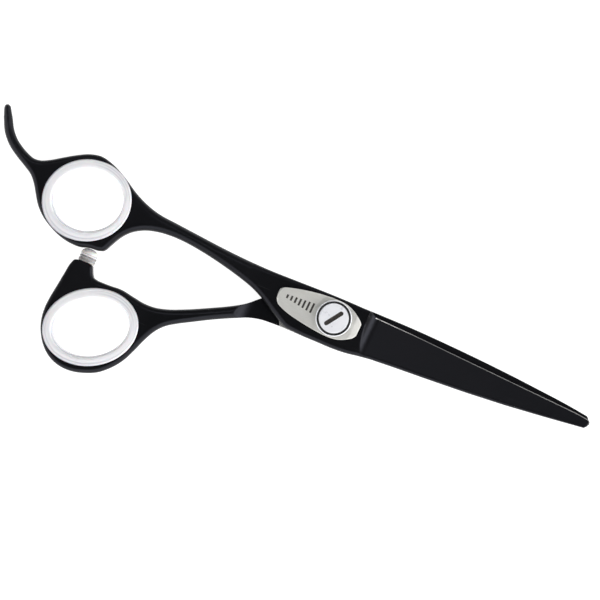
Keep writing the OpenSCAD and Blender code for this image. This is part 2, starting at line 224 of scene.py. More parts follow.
# How far the grid keeps off a rim: a share of its bevel's width, and mm more
GRID_SHARE = 1.3
GRID_CLEAR = 0.2
# Distance between the lines of a triangular grid, as a share of its spacing
GRID_LINES = 0.866


def regions(tris, fences):
    """Numbers the parts that the fences, a set of edges, split the triangles into."""
    beside = {}
    for t, tri in enumerate(tris.tolist()):
        for a, b in zip(tri, tri[1:] + tri[:1]):
            beside.setdefault((min(a, b), max(a, b)), []).append(t)
    links = [[] for _ in tris]
    for edge, pair in beside.items():
        if len(pair) == 2 and edge not in fences:
            links[pair[0]].append(pair[1])
            links[pair[1]].append(pair[0])
    number = np.full(len(tris), -1)
    count = 0
    for seed in range(len(tris)):
        if number[seed] < 0:
            number[seed], todo = count, [seed]
            while todo:
                for other in links[todo.pop()]:
                    if number[other] < 0:
                        number[other] = count
                        todo.append(other)
            count += 1
    return number


def plan_mesh(plan, width, spacing, extra=(), guides=()):
    """Triangles over the plan, with rows of points that follow the rim for its bevel."""
    rim = plan.starts
    normal = plan.rim_normals()
    reach = width(rim)
    rows, grid = [], []
    for row in WIDE_ROWS + (NARROW_ROW,) + OUTER_ROWS:
        d = reach * row
        q = rim + normal * d[:, None]
        wanted = reach > NARROW if row in WIDE_ROWS else (row != NARROW_ROW) | (reach <= NARROW)
        rows.append(q[(nearest(q, plan.starts, plan.ends)[0] > ROW_CLEAR * d) & wanted])
    low, high = rim.min(0), rim.max(0)
    for size, box in [(spacing, None)] + list(extra):
        lo, hi = (low, high) if box is None else (np.array(box[0]), np.array(box[1]))
        ys = np.arange(lo[1], hi[1], size * GRID_LINES)
        for i, y in enumerate(ys):
            xs = np.arange(lo[0] + (i % 2) * size / 2, hi[0], size)
            grid.append(np.stack([xs, np.full(len(xs), y)], axis=1))
    grid = np.concatenate(grid)
    d, k, _ = nearest(grid, plan.starts, plan.ends)
    keep = inside(grid, plan.starts, plan.ends) & (d > GRID_SHARE * reach[k] + GRID_CLEAR)
    points = np.concatenate([rim] + rows + [grid[keep]])
    edges, at = [], 0
    for loop in plan.loops:
        edges += [(at + i, at + (i + 1) % len(loop)) for i in range(len(loop))]
        at += len(loop)
    for guide in guides:
        g = np.asarray(guide)
        first = len(points)
        points = np.concatenate([points, g])
        edges += [(first + i, first + i + 1) for i in range(len(g) - 1)]
    found = delaunay_2d_cdt([Vector(p) for p in points], edges, [], 0, 1e-5)
    flat = np.array([(v.x, v.y) for v in found[0]])
    tris = np.array([f for f in found[2] if len(f) == 3])
    fences = {tuple(sorted(e)) for e, origin in zip(found[1], found[4]) if min(origin, default=at) < at}
    region = regions(tris, fences)
    within = inside(flat[tris].mean(axis=1), plan.starts, plan.ends)
    votes = np.bincount(region, np.where(within, 1.0, -1.0))
    tris = tris[votes[region] > 0]
    used = np.unique(tris)
    remap = np.full(len(flat), -1)
    remap[used] = np.arange(len(used))
    return flat[used], remap[tris]


# The section of a worn bevel: its slope in degrees at shares of its width from the rim
BEVEL_SHARE = np.linspace(0, 1, 101)
BEVEL_SLOPE = np.tan(np.radians(np.interp(BEVEL_SHARE, (0, 0.24, 0.38, 0.75, 1), (68, 59, 38, 27, 0))))
BEVEL_FALL = np.concatenate([np.cumsum(BEVEL_SLOPE[:0:-1])[::-1] / 100, [0]])


def drop(depth, width):
    """How far a bevelled edge has fallen at a depth in from the rim."""
    w = np.maximum(width, 1e-6)
    return w * np.interp(depth / w, BEVEL_SHARE, BEVEL_FALL)


def surface(node, direction, flat_zones):
    """Returns a function that gives the height of a CAD node's upper (1) or lower (-1) face, in mm."""
    bm = welded(node)
    tree = BVHTree.FromBMesh(bm)
    bm.free()

    def cast(x, y):
        start = Vector((x * MM, y * MM, direction * RAY_HEIGHT))
        hit = tree.ray_cast(start, Vector((0, 0, -direction)))[0]
        return math.nan if hit is None else hit.z / MM

    def heights(points):
        """A miss takes the nearest hit's height, and a flat zone the height at its own spot."""
        z = np.array([cast(x, y) for x, y in points])
        missed = np.isnan(z)
        base, level = points[~missed], z[~missed]
        for i in np.where(missed)[0]:
            z[i] = level[np.argmin(np.sum((base - points[i]) ** 2, axis=1))]
        for zone, spot in flat_zones:
            z[zone(points)] = cast(*spot)
        return z

    return heights


def shell(name, flat, tris, top, bottom):
    """A closed mesh between two height fields over the same triangles."""
    count = len(flat)
    vertices = [(x * MM, y * MM, z * MM) for (x, y), z in zip(flat, top)]
    vertices += [(x * MM, y * MM, z * MM) for (x, y), z in zip(flat, bottom)]
    a, b, c = flat[tris[:, 0]], flat[tris[:, 1]], flat[tris[:, 2]]
    left = (b[:, 0] - a[:, 0]) * (c[:, 1] - a[:, 1]) - (b[:, 1] - a[:, 1]) * (c[:, 0] - a[:, 0])
    # all the triangles turn the same way, so one sum settles it for the hair-thin ones too
    up = tris if left.sum() > 0 else tris[:, ::-1]
    faces = [tuple(int(i) for i in t) for t in up]
    faces += [tuple(int(i) + count for i in t[::-1]) for t in up]
    sides = dict.fromkeys((int(t[i]), int(t[(i + 1) % 3])) for t in up for i in range(3))
    walls = [(i, j) for i, j in sides if (j, i) not in sides]
    faces += [(j, i, i + count, j + count) for i, j in walls]
    mesh = bpy.data.meshes.new(name)
    mesh.from_pydata(vertices, [], faces)
    mesh.validate()
    mesh.update()
    return placed(name, mesh)


def flatten_top(obj):
    """Flat shading for the faces that look straight up or down."""
    for face in obj.data.polygons:
        if abs(face.normal.z) > 0.9995:
            face.use_smooth = False


def revolve(name, profile, turns=128, axis="Z", centre=(0, 0, 0)):
    """A solid of revolution from (radius, height) points in mm, from axis to axis."""
    bm = bmesh.new()
    rings = []
    for r, z in profile:
        if r < 1e-6:
            rings.append([bm.verts.new((0, 0, z * MM))])
        else:
            rings.append([bm.verts.new((r * MM * math.cos(2 * math.pi * i / turns),
                                        r * MM * math.sin(2 * math.pi * i / turns), z * MM))
                          for i in range(turns)])
    for low, high in zip(rings, rings[1:]):
        for i in range(turns):
            j = (i + 1) % turns
            if len(low) == 1:
                bm.faces.new((low[0], high[j], high[i]))
            elif len(high) == 1:
                bm.faces.new((low[i], low[j], high[0]))
            else:
                bm.faces.new((low[i], low[j], high[j], high[i]))
    if len(rings[0]) > 1 and len(rings[-1]) > 1:
        for i in range(turns):
            j = (i + 1) % turns
            bm.faces.new((rings[-1][i], rings[-1][j], rings[0][j], rings[0][i]))
    spin = Matrix.Rotation(math.radians(-90), 4, "X") if axis == "Y" else Matrix.Identity(4)
    bm.transform(Matrix.Translation(Vector(centre) * MM) @ spin)
    return built(name, bm)


def cut_away(obj, cutters):
    """Takes the cutters out of obj and removes them."""
    for cutter in cutters:
        step = obj.modifiers.new("cut", "BOOLEAN")
        step.operation = "DIFFERENCE"
        step.solver = "MANIFOLD"
        step.material_mode = "TRANSFER"
        step.object = cutter
    bpy.context.view_layer.update()
    done = bpy.data.meshes.new_from_object(obj.evaluated_get(bpy.context.evaluated_depsgraph_get()))
    obj.modifiers.clear()
    old, obj.data = obj.data, done
    bpy.data.meshes.remove(old)
    for cutter in cutters:
        bpy.data.objects.remove(cutter)


def prism(name, loop, low, high):
    """A straight-sided cutter over an outline, heights in mm."""
    bm = bmesh.new()
    lower = [bm.verts.new((x * MM, y * MM, low * MM)) for x, y in loop]
    upper = [bm.verts.new((x * MM, y * MM, high * MM)) for x, y in loop]
    bm.faces.new(lower[::-1])
    bm.faces.new(upper)
    for i in range(len(loop)):
        j = (i + 1) % len(loop)
        bm.faces.new((lower[i], lower[j], upper[j], upper[i]))
    return built(name, bm)


def disc(radius, turns=96):
    """A round outline about the pivot."""
    return np.array([(radius * math.cos(2 * math.pi * i / turns),
                      radius * math.sin(2 * math.pi * i / turns)) for i in range(turns)])


# ---------------------------------------------------------------- materials

def node_material(name, **values):
    """A material with its principled shader and the constants set on its sockets."""
    mat = bpy.data.materials.new(name)
    mat.use_nodes = True
    shader = mat.node_tree.nodes["Principled BSDF"]
    for key, value in values.items():
        shader.inputs[key.replace("_", " ")].default_value = value
    return mat, mat.node_tree.nodes, mat.node_tree.links, shader


def add(nodes, kind, **values):
    """A node with constants set on its sockets."""
    node = nodes.new(kind)
    for key, value in values.items():
        node.inputs[key].default_value = value
    return node


def object_coords(nodes, links, scale=(1, 1, 1), rotation=(0, 0, 0)):
    """Object coordinates in millimetres, stretched or turned."""
    coords = nodes.new("ShaderNodeTexCoord")
    mapping = add(nodes, "ShaderNodeMapping", Scale=[s / MM for s in scale], Rotation=rotation)
    links.new(coords.outputs["Object"], mapping.inputs["Vector"])
    return mapping.outputs["Vector"]


def along_axis(nodes, links, vector, axis):
    """One coordinate of a vector socket."""
    split = nodes.new("ShaderNodeSeparateXYZ")
    links.new(vector, split.inputs["Vector"])
    return split.outputs[axis]


def noise(nodes, links, vector, scale, detail=3.0, roughness=0.5):
    tex = add(nodes, "ShaderNodeTexNoise", Scale=scale, Detail=detail, Roughness=roughness)
    links.new(vector, tex.inputs["Vector"])
    return tex.outputs["Fac"]


# The range that most of a noise's values lie in
NOISE_RANGE = (0.3, 0.7)


def spread(nodes, links, value, low, high, source, easing="LINEAR"):
    """Maps a value's source range onto low to high."""
    ranged = nodes.new("ShaderNodeMapRange")
    ranged.interpolation_type = easing
    ranged.inputs["From Min"].default_value, ranged.inputs["From Max"].default_value = source
    ranged.inputs["To Min"].default_value, ranged.inputs["To Max"].default_value = low, high
    links.new(value, ranged.inputs["Value"])
    return ranged.outputs["Result"]


def ramp(nodes, links, value, *stops):
    """A colour ramp of (position, colour) stops."""
    node = nodes.new("ShaderNodeValToRGB")
    elements = node.color_ramp.elements
    while len(elements) < len(stops):
        elements.new(0.5)
    for element, (position, colour) in zip(elements, stops):
        element.position = position
        element.color = (*colour, 1)
    links.new(value, node.inputs["Fac"])
    return node.outputs["Color"]


def shades(nodes, links, value, dark, light):
    """A colour between two shades that follows a noise."""
    return ramp(nodes, links, value, (NOISE_RANGE[0], dark), (NOISE_RANGE[1], light))


def roughen(nodes, links, shader, value, low, high):
    """Uneven gloss that follows a noise."""
    links.new(spread(nodes, links, value, low, high, NOISE_RANGE), shader.inputs["Roughness"])


def bump(nodes, links, shader, height, distance, strength):
    """Raises the surface by a height map, distance in millimetres."""
    node = add(nodes, "ShaderNodeBump", Strength=strength, Distance=distance * MM)
    links.new(height, node.inputs["Height"])
    links.new(node.outputs["Normal"], shader.inputs["Normal"])


def scratches(nodes, links, turn, scale, share):
    """Fine straight marks: 1 on a mark, 0 elsewhere."""
    coords = object_coords(nodes, links, (0.12, 5, 1), (0, 0, math.radians(turn)))
    lines = noise(nodes, links, coords, scale, 1)
    return spread(nodes, links, lines, 0, 1, (share, share + 0.03))


def tinted(nodes, links, amount, base, tint):
    """A colour socket mixed towards a fixed colour, by an amount socket."""
    node = nodes.new("ShaderNodeMix")
    node.data_type = "RGBA"
    links.new(amount, node.inputs[0])
    links.new(base, node.inputs[6])
    node.inputs[7].default_value = (*tint, 1)
    return node.outputs[2]


def black_coat():
    """Satin black, with fine marks across the blades."""
    mat, nodes, links, shader = node_material("black_coat", Specular_IOR_Level=0.2,
                                              Specular_Tint=(0.82, 0.84, 1.0, 1))
    coords = object_coords(nodes, links)
    cloud = noise(nodes, links, coords, 0.08, 4)
    grain = noise(nodes, links, coords, 9.0, 2)
    coat = shades(nodes, links, cloud, (0.0022, 0.0023, 0.0024), (0.0034, 0.0034, 0.0036))
    marks = scratches(nodes, links, 57, 0.5, 0.74)
    links.new(tinted(nodes, links, marks, coat, (0.02, 0.02, 0.021)), shader.inputs["Base Color"])
    roughen(nodes, links, shader, cloud, 0.33, 0.41)
    bump(nodes, links, shader, grain, 0.003, 0.4)
    return mat


def bare_steel():
    """Ground steel, with its grinding marks along X."""
    mat, nodes, links, shader = node_material("bare_steel", Metallic=0.7)
    grind = noise(nodes, links, object_coords(nodes, links, (1, 14, 1)), 1.2, 3)
    light = (0.60, 0.585, 0.56)
    dark = tuple(0.86 * c for c in light)
    links.new(shades(nodes, links, grind, dark, light), shader.inputs["Base Color"])
    roughen(nodes, links, shader, grind, 0.28, 0.42)
    bump(nodes, links, shader, grind, 0.006, 0.4)
    return mat


HEEL_X = 9.9
TIP_X = 72
STOP_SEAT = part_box("bumper")[0].y / MM
STOP_HEIGHT = 3.65


def honed_edge():
    """The cutting edge, coloured with a painted highlight: brightest near the heel, where the edge is widest,
    dark along the middle and lighter again at the tip.
    """
    mat, nodes, links, shader = node_material("honed_edge", Metallic=0.5)
    coords = object_coords(nodes, links)
    wander = noise(nodes, links, coords, 0.5, 2)
    along = spread(nodes, links, along_axis(nodes, links, coords, "X"), 0, 1, (HEEL_X, TIP_X))
    # painted highlight along the edge: bright at the heel, dark in the middle, lighter at the tip
    edge = ramp(nodes, links, along, (0.0, (0.80, 0.79, 0.76)), (0.08, (0.62, 0.61, 0.59)),
                (0.2, (0.20, 0.20, 0.195)), (0.6, (0.26, 0.26, 0.25)), (1.0, (0.40, 0.39, 0.38)))
    dull = spread(nodes, links, wander, 0, 0.5, (0.4, 0.7))
    links.new(tinted(nodes, links, dull, edge, (0.12, 0.12, 0.12)), shader.inputs["Base Color"])
    roughen(nodes, links, shader, wander, 0.3, 0.42)
    bump(nodes, links, shader, wander, 0.003, 0.4)
    return mat


def polished_steel():
    mat, nodes, links, shader = node_material("polished_steel", Metallic=0.2)
    coords = object_coords(nodes, links)
    haze = noise(nodes, links, coords, 0.35, 3)
    fine = noise(nodes, links, object_coords(nodes, links, (0.4, 6, 1), (0, 0, math.radians(40))), 4.0, 2)
    links.new(shades(nodes, links, haze, (0.90, 0.91, 0.94), (0.95, 0.96, 0.98)), shader.inputs["Base Color"])
    roughen(nodes, links, shader, haze, 0.26, 0.38)
    bump(nodes, links, shader, fine, 0.0006, 0.25)
    return mat


def brushed_nickel():
    mat, nodes, links, shader = node_material("brushed_nickel", Metallic=0.45)
    coords = object_coords(nodes, links, (0.35, 7, 1), (0, 0, math.radians(2.8)))
    strokes = noise(nodes, links, coords, 2.0, 4, 0.6)
    cloud = noise(nodes, links, object_coords(nodes, links), 0.4, 2)
    links.new(shades(nodes, links, strokes, (0.68, 0.675, 0.63), (0.76, 0.755, 0.71)),
              shader.inputs["Base Color"])
    roughen(nodes, links, shader, cloud, 0.34, 0.44)
    bump(nodes, links, shader, strokes, 0.003, 0.5)
    return mat


def white_silicone():
    """Soft milky plastic, with painted shade lines along the lip's edges and ridges, read from a value stored
    on the mesh.
    """
    mat, nodes, links, shader = node_material("white_silicone", Specular_IOR_Level=0.5,
                                              Subsurface_Weight=0.12, Subsurface_Scale=0.5 * MM)
    coords = object_coords(nodes, links)
    cloud = noise(nodes, links, coords, 0.12, 2)
    fine = noise(nodes, links, coords, 5.0, 2)
    # the painted shade along the lip, stored on each vertex of the mesh
    lines = nodes.new("ShaderNodeAttribute")
    lines.attribute_name = "painted_shade"
    milky = shades(nodes, links, cloud, (0.79, 0.79, 0.795), (0.85, 0.85, 0.855))
    links.new(tinted(nodes, links, lines.outputs["Fac"], milky, (0.26, 0.26, 0.33)),
              shader.inputs["Base Color"])
    roughen(nodes, links, shader, cloud, 0.16, 0.28)
    bump(nodes, links, shader, fine, 0.003, 0.3)
    return mat


def clear_rubber():
    """The bumper, its bands of painted light and painted shade and the stud that shows through, all painted
    by height.
    """
    mat, nodes, links, shader = node_material("clear_rubber", IOR=1.41, Transmission_Weight=0.06,
                                              Subsurface_Weight=0.15, Subsurface_Scale=0.5 * MM)
    coords = object_coords(nodes, links)
    cloud = noise(nodes, links, coords, 0.7, 2)
    height = spread(nodes, links, along_axis(nodes, links, coords, "Y"), 0, 1,
                    (STOP_SEAT, STOP_SEAT + STOP_HEIGHT))
    # painted highlight on the dome and the light bands, painted shade in the dark lines between them
    light_and_shade_bands = ramp(nodes, links, height, (0.0, (0.34, 0.33, 0.32)), (0.08, (0.56, 0.55, 0.53)),
                 (0.16, (0.20, 0.19, 0.19)), (0.22, (0.44, 0.43, 0.42)), (0.33, (0.42, 0.41, 0.40)),
                 (0.38, (0.08, 0.075, 0.085)), (0.43, (0.24, 0.23, 0.24)), (0.47, (0.82, 0.82, 0.85)),
                 (0.53, (0.84, 0.84, 0.86)), (0.57, (0.34, 0.33, 0.35)), (0.62, (0.90, 0.89, 0.84)),
                 (1.0, (0.95, 0.93, 0.87)))
    milk = spread(nodes, links, cloud, 0, 0.35, (0.35, 0.65))
    links.new(tinted(nodes, links, milk, light_and_shade_bands, (0.62, 0.61, 0.59)), shader.inputs["Base Color"])
    roughen(nodes, links, shader, cloud, 0.2, 0.3)
    bump(nodes, links, shader, cloud, 0.006, 0.3)
    return mat


def plain(name, dark, light, rough, **values):
    """A small part's finish: two shades, uneven gloss and a fine grain."""
    mat, nodes, links, shader = node_material(name, **values)
    coords = object_coords(nodes, links)
    cloud = noise(nodes, links, coords, 1.0, 3)
    fine = noise(nodes, links, coords, 6.0, 2)
    links.new(shades(nodes, links, cloud, dark, light), shader.inputs["Base Color"])
    roughen(nodes, links, shader, cloud, *rough)
    bump(nodes, links, shader, fine, 0.004, 0.5)
    return mat


MATERIALS = {
    "honed_edge": honed_edge(),
    "black_coat": black_coat(),
    "bare_steel": bare_steel(),
    "polished_steel": polished_steel(),
    "brushed_nickel": brushed_nickel(),
    "white_silicone": white_silicone(),
    "clear_rubber": clear_rubber(),
    "black_rubber": plain("black_rubber", (0.008, 0.008, 0.009), (0.016, 0.016, 0.017), (0.4, 0.55)),
    "black_enamel": plain("black_enamel", (0.03, 0.026, 0.022), (0.06, 0.052, 0.045), (0.35, 0.5)),
    "bronze": plain("bronze", (0.42, 0.26, 0.12), (0.55, 0.36, 0.18), (0.25, 0.4), Metallic=1.0),
    "brass": plain("brass", (0.62, 0.46, 0.20), (0.76, 0.60, 0.30), (0.2, 0.35), Metallic=1.0),
    "washer_polymer": plain("washer_polymer", (0.74, 0.71, 0.62), (0.84, 0.81, 0.73), (0.35, 0.5)),
    "spring_steel": plain("spring_steel", (0.24, 0.26, 0.32), (0.36, 0.38, 0.44), (0.22, 0.36), Metallic=1.0),
}

for entry in frame["record"]["subparts"]:
    cad_node = frame["nodes"][entry["node"]]
    cad_node.data.materials.clear()
    cad_node.data.materials.append(MATERIALS[entry["material_slot"]])


def finish(obj, body, replaces, degrees):
    """Smooth shading up to an angle, and the piece's body and CAD nodes."""
    obj.data.shade_smooth()
    obj.data.set_sharp_from_angle(angle=math.radians(degrees))
    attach(obj, body)
    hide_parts(*replaces)


# ---------------------------------------------------------------- the two blade halves

RIDE_RADIUS = 13.9
RIDE_RADIUS_FRONT = 9.8
EDGE_STRIP = 0.19
SCOOP_END = -24.0
SCOOP_LENGTH = 6
SCOOP_ROUND = 1.45
# A Y within each half's shank just behind its scoop, by the sign of its edge side
SHANK_Y = {1: 2.4, -1: -8.3}
# Bevels round a finger hole, on the lug, at the bumper's seat and on ground faces, and the least row width
HOLE_BEVEL = 0.25
LUG_BEVEL = 0.7
SEAT_BEVEL = 0.2
GROUND_BEVEL = 0.1
LEAST_ROW = 0.2
# A bevel falls no further than this share of the thickness
FALL_LIMIT = 0.6
# Rays are cast at least this far in from a rim
RAY_INSET = 0.04


def ramped(stops):
    """A function of X, straight between (x, value) stops."""
    xs, ys = zip(*stops)
    return lambda x: np.interp(x, xs, ys)


def arc(radius, reach, count):
    """Points on a circle about the pivot, up to reach radians either side of +X.

    A negative radius puts them round -X.
    """
    return [(radius * math.cos(a), abs(radius) * math.sin(a)) for a in np.linspace(-reach, reach, count)]


def without(loop, box):
    """The outline with its points inside a box left out, so that a slot there is bridged straight over."""
    lo, hi = box
    slot = np.all((loop > (lo.x / MM - 0.1, lo.y / MM - 0.1)) & (loop < (hi.x / MM + 0.1, hi.y / MM)), axis=1)
    return loop[~slot]


def half(name, slice_z, edge_side, outer_side, outer_zones, inner_zones, cutters, notch=None):
    """One forged half: its CAD outline and faces, with rounded edges and a bare ride area.

    edge_side is the sign of Y where the cutting edge lies; outer_side is 1 if the outer face is on top.
    """
    loops = slice_loops(name, slice_z)
    ring = max(loops[1:], key=lambda p: abs(area(p)))
    loops[0] = without(loops[0], notch) if notch else loops[0]
    plan = Plan([smooth_loop(loops[0], 0.4), smooth_loop(ring, 0.4)])
    ring_rim = len(plan.loops[0])

    spine_width = ramped([(-100, 1.5), (-96, 1.5), (-88, 1.3), (-82, 1.1), (-60, 1.2), (-50, 1.6), (-30, 1.6),
                          (-14, 1.4), (-6, 1.1), (8, 1.0), (14, 1.0), (50, 0.8), (69, 0.4)])
    edge_width = ramped([(-100, 0.9), (-30, 1.3), (-14, 0.8), (-4, 0.6), (6, 0.5), (8.5, 0.15), (9.8, 0.02),
                         (70, 0.02)])
    inner_width = ramped([(-100, 0.7), (-88, 0.9), (-60, 1.0), (-40, 1.3), (-30, SCOOP_ROUND),
                          (-18, SCOOP_ROUND), (-16, 0.1), (70, 0.05)])

    def on_hole(points):
        return nearest(points, plan.starts[ring_rim:], plan.ends[ring_rim:])[0] < 1e-3

    def lug(points, width):
        near = (points[:, 1] > -17.5) & (points[:, 1] < -10) & (points[:, 0] < -60) & (edge_side < 0)
        seat = near & (points[:, 1] > -11.7)
        return np.where(seat, SEAT_BEVEL, np.where(near, np.minimum(width, LUG_BEVEL), width))

    def outer_width(points):
        spine = (points[:, 0] < SCOOP_END) | (points[:, 1] * edge_side < 0)
        w = np.where(spine, spine_width(points[:, 0]), edge_width(points[:, 0]))
        return np.where(on_hole(points), HOLE_BEVEL, lug(points, w))

    def inner_face_width(points):
        return np.where(on_hole(points), HOLE_BEVEL, lug(points, inner_width(points[:, 0])))

    def row_width(points):
        return np.maximum(np.maximum(outer_width(points), inner_face_width(points)), LEAST_ROW)

    # a finer mesh at the heels and over the scoops, and edges along the borders of the bare steel
    flat, tris = plan_mesh(plan, row_width, 0.7, extra=[
        (0.33, ((6.5, -8), (12.5, 6))),
        (0.35, ((-27, -11), (-17, 6))),
    ], guides=[arc(-RIDE_RADIUS, 1.1, 80), arc(RIDE_RADIUS_FRONT, 1.3, 70)])

    d, k, foot = nearest(flat, plan.starts, plan.ends)
    probe = flat + np.clip(RAY_INSET - d, 0, None)[:, None] * plan.inward[k]
    outer = surface(name, outer_side, outer_zones)(probe)
    inner = surface(name, -outer_side, inner_zones)(probe)
    thick = np.abs(outer - inner)
    outer = outer - outer_side * drop(d, np.minimum(outer_width(foot), FALL_LIMIT * thick))
    # a shank is rounded before its scoop is ground in, so the scoop ends in an arc
    shank_level = surface(name, -outer_side, [])(np.array([[SCOOP_END, SHANK_Y[edge_side]]]))[0]
    width = inner_face_width(foot)
    width = np.where(flat[:, 0] > SCOOP_END, np.minimum(width, GROUND_BEVEL), width)
    inner = inner + outer_side * drop(d, np.minimum(width, FALL_LIMIT * thick))
    domed = shank_level + outer_side * drop(d, SCOOP_ROUND)
    ground = (flat[:, 0] > SCOOP_END) & (flat[:, 0] < SCOOP_END + SCOOP_LENGTH)
    inner = np.where(ground, outer_side * np.maximum(outer_side * inner, outer_side * domed), inner)
    top, bottom = (outer, inner) if outer_side > 0 else (inner, outer)
    obj = shell(name + "_forged", flat, tris, top, bottom)

    for slot in ("black_coat", "bare_steel", "honed_edge"):
        obj.data.materials.append(MATERIALS[slot])
    centres = np.array([f.center for f in obj.data.polygons]) / MM
    normals = np.array([f.normal for f in obj.data.polygons])
    radius = np.linalg.norm(centres[:, :2], axis=1)
    gap, _, near = nearest(centres[:, :2], plan.starts, plan.ends)
    cutting = (near[:, 0] > HEEL_X) & (near[:, 1] * edge_side > 0) & (gap < EDGE_STRIP)
    faces_in = normals[:, 2] * outer_side < -0.7
    ride = np.where(centres[:, 0] < 0, radius < RIDE_RADIUS, radius < RIDE_RADIUS_FRONT)
    which = np.where(cutting, 2, np.where(faces_in & ride, 1, 0))
    obj.data.polygons.foreach_set("material_index", which.astype(np.int32))
    for cutter in cutters:
        cutter.data.materials.append(MATERIALS["bare_steel"])
    cut_away(obj, cutters)
    return obj


def in_disc(radius):
    """A test for points within a radius of the pivot."""
    return lambda points: np.linalg.norm(points, axis=1) < radius


plate_low, plate_high = (p.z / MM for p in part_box("cover_plate"))
plate_loop = slice_loops("cover_plate", plate_low + 0.3)[0]
plate_loop = plate_loop if area(plate_loop) > 0 else plate_loop[::-1]
plate_starts, plate_ends = plate_loop, np.roll(plate_loop, -1, 0)


def under_plate(points):
    """True for points under the cover plate or just beside it."""
    near = nearest(points, plate_starts, plate_ends)[0] < 0.2
    return near | inside(points, plate_starts, plate_ends)


def grown(loop, play):
    """The outline moved outwards by play mm."""
    along = np.roll(loop, -1, 0) - np.roll(loop, 1, 0)
    along /= np.linalg.norm(along, axis=1)[:, None]
    return loop + play * np.stack([along[:, 1], -along[:, 0]], axis=1)


# Spots on the plain outer face, clear of the seats and of the cover plate
PLAIN_SPOT = (-6.8, -3.2)
BESIDE_PLATE = (-2, -6.2)
DIAL_SEAT = 4.6
KEY_HOLE = 2.53
race_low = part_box("lower_race")[0].z / MM
race_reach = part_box("lower_race")[1].x / MM + 0.05
bush_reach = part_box("pivot_bush")[1].x / MM
washer_low, washer_high = (p.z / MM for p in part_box("ride_washer"))
washer_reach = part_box("ride_washer")[1].x / MM + 0.2
head_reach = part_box("pivot_bolt")[1].x / MM + 0.03
front_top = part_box("finger_half")[1].z / MM

finger = half(
    "finger_half", slice_z=3.5, edge_side=1, outer_side=1,
    outer_zones=[(lambda p: under_plate(p) | in_disc(DIAL_SEAT)(p), BESIDE_PLATE)],
    inner_zones=[(in_disc(washer_reach + 0.1), PLAIN_SPOT)],
    cutters=[
        prism("plate_seat", grown(plate_loop, 0.03), plate_low, front_top + 3),
        prism("race_seat", disc(race_reach), race_low, front_top + 3),
        prism("bush_seat", disc(bush_reach), 0, front_top + 3),
        prism("washer_seat_front", disc(washer_reach), 1, washer_high + 0.03),
    ])
finish(finger, "finger_half", ["finger_half"], 40)

thumb = half(
    "thumb_half", slice_z=2.8, edge_side=-1, outer_side=-1, notch=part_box("bumper_stud"),
    outer_zones=[(in_disc(head_reach + 0.1), PLAIN_SPOT)],
    inner_zones=[(in_disc(washer_reach + 0.1), PLAIN_SPOT)],
    cutters=[
        prism("head_seat", disc(head_reach), -1, 0.8),
        prism("key_seat", disc(KEY_HOLE), -1, 8),
        prism("washer_seat_rear", disc(washer_reach), washer_low, 8),
    ])
finish(thumb, "thumb_half", ["thumb_half"], 40)


# ---------------------------------------------------------------- cover plate

def cover_plate():
    """The plate with a worn bevel round it, widest at its rear end, and its marks cut in."""
    bore = slice_loops("cover_plate", plate_low + 0.3)[1]
    plan = Plan([smooth_loop(plate_loop, 0.25), smooth_loop(bore, 0.2)])
    rear = plate_loop[:, 0].min()

    def width(points):
        outer = np.interp(points[:, 0] - rear, (0, 0.3, 0.9), (0.5, 0.45, 0.17))
        return np.where(np.linalg.norm(points, axis=1) < 4, 0.08, outer)

    flat, tris = plan_mesh(plan, lambda points: np.maximum(width(points), 0.15), 0.4)
    d, k, foot = nearest(flat, plan.starts, plan.ends)
    probe = flat + np.clip(RAY_INSET - d, 0, None)[:, None] * plan.inward[k]
    fill_low, fill_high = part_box("plate_mark_fill")
    marks = slice_loops("plate_mark_fill", (fill_low.z + fill_high.z) / 2 / MM)
    lo, hi = (np.array(p)[:2] / MM for p in (fill_low, fill_high))
    engraved = [(lambda p: np.all((p > lo - 0.3) & (p < hi + 0.3), axis=1), (-4, 0))]
    top = surface("cover_plate", 1, engraved)(probe) - drop(d, width(foot))
    bottom = np.full(len(flat), plate_low)
    obj = shell("cover_plate_bevelled", flat, tris, top, bottom)
    obj.data.materials.append(MATERIALS["brushed_nickel"])
    cutters = []
    for i, loop in enumerate(marks):
        loop = loop if area(loop) > 0 else loop[::-1]
        cutter = prism("mark_%d" % i, grown(loop, 0.02), fill_low.z / MM, plate_high + 1)
        cutter.data.materials.append(MATERIALS["black_enamel"])
        cutters.append(cutter)
    cut_away(obj, cutters)
    return obj


finish(cover_plate(), "finger_half", ["cover_plate"], 28)


# ---------------------------------------------------------------- ring inserts

def polar(loop, centre, turns):
    """The outline's distance from centre in evenly spaced directions, smoothed."""
    rel = loop - centre
    angle = np.mod(np.arctan2(rel[:, 1], rel[:, 0]), 2 * math.pi)
    order = np.argsort(angle)
    dist = np.interp(np.linspace(0, 2 * math.pi, turns, endpoint=False), angle[order],
                     np.linalg.norm(rel, axis=1)[order], period=2 * math.pi)
    wave = np.fft.rfft(dist)
    wave[12:] = 0
    return np.fft.irfft(wave, turns)


# Painted shade lines on a lip, where shade falls along its edges and ridges: share of the way out, half
# width, turn, half span in degrees, strength
LIP_SHADE_LINES = (
    (0.05, 0.08, 238, 85, 0.85), (0.05, 0.07, 345, 55, 0.60), (0.32, 0.09, 250, 70, 0.22),
    (0.72, 0.07, 265, 90, 0.50), (0.97, 0.13, 190, 85, 0.75), (0.96, 0.12, 285, 60, 0.65),
    (0.46, 0.12, 62, 45, 0.45), (0.74, 0.07, 66, 48, 0.45), (0.97, 0.09, 60, 60, 0.40),
    (0.14, 0.12, 120, 60, 0.14),
)
